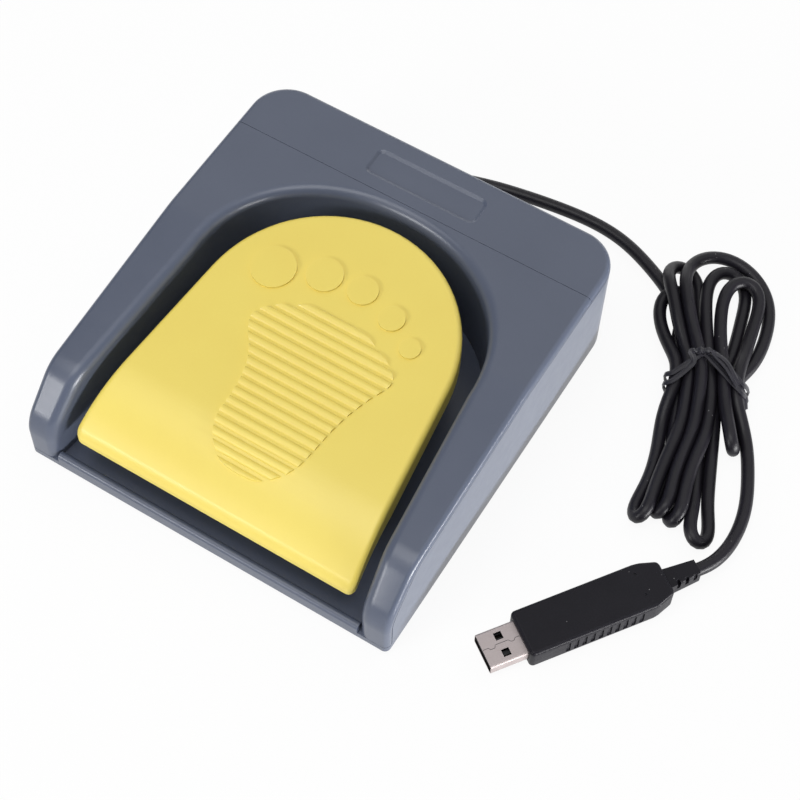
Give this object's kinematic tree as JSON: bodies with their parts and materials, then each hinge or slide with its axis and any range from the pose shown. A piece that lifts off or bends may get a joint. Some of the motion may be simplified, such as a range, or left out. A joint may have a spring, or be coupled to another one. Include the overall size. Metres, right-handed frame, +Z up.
{
  "type": "foot pedal switch",
  "caption": "Desk foot pedal switch: a sprung pedal with a ribbed foot print, rocking in a U-shaped sloped housing, with a tied cord and a flat plug.",
  "frame": {"origin": "centre of the housing's footprint, on the floor under its rubber feet", "axes": "+X to the right along the front edge, +Y from the open front to the back, +Z up"},
  "size_m": [0.2099, 0.1834, 0.042],
  "materials": {
    "housing": "fine moulded grain, satin",
    "pedal": "fine moulded grain, satin",
    "rubber": "matte",
    "steel": "satin",
    "plated": "satin plated sheet",
    "board": "semi-gloss solder mask",
    "black_plastic": "fine grain, satin",
    "red_plastic": "gloss",
    "white_plastic": "satin",
    "brass": "bright",
    "ceramic": "matte",
    "cord": "satin",
    "tie": "satin"
  },
  "bodies": {
    "housing": {"base_shell": "housing", "top_frame": "housing", "rear_cover": "housing", "rubber_feet": "rubber", "housing_screws": "steel", "hinge_pin": "steel", "pin_rings": "steel", "spring_left": "steel", "spring_right": "steel", "circuit_board": "board", "board_screws": "steel", "switch_case": "black_plastic", "switch_terminals": "brass", "controller_chip": "black_plastic", "crystal_can": "steel", "capacitors": "ceramic", "cable_header": "white_plastic", "inner_lead": "cord", "cord_boot": "rubber", "cord_lead": "cord", "cord_hank": "cord", "cord_tail": "cord", "twist_tie": "tie", "plug_case_upper": "black_plastic", "plug_case_lower": "black_plastic", "plug_boot": "rubber", "plug_shell": "plated", "plug_tongue": "white_plastic", "plug_contacts": "brass", "plug_board": "board"},
    "pedal": {"pedal": "pedal"},
    "plunger": {"switch_plunger": "red_plastic"}
  },
  "joints": [
    {"name": "pedal_hinge", "type": "hinge", "parent": "housing", "child": "pedal", "pos_m": [0, 0.025, 0.024], "axis": [1, 0, 0], "range_deg": [0, 4], "stiffness_Nm_per_rad": 6, "springref_deg": -3.44, "deforming": ["spring_left", "spring_right"]},
    {"name": "plunger_slide", "type": "slide", "parent": "housing", "child": "plunger", "axis": [0, 0, -1], "range_m": [0, 0.0015]}
  ],
  "couplings": [
    {"joint": "plunger_slide", "follows": "pedal_hinge", "m_per_rad": 0.02}
  ]
}
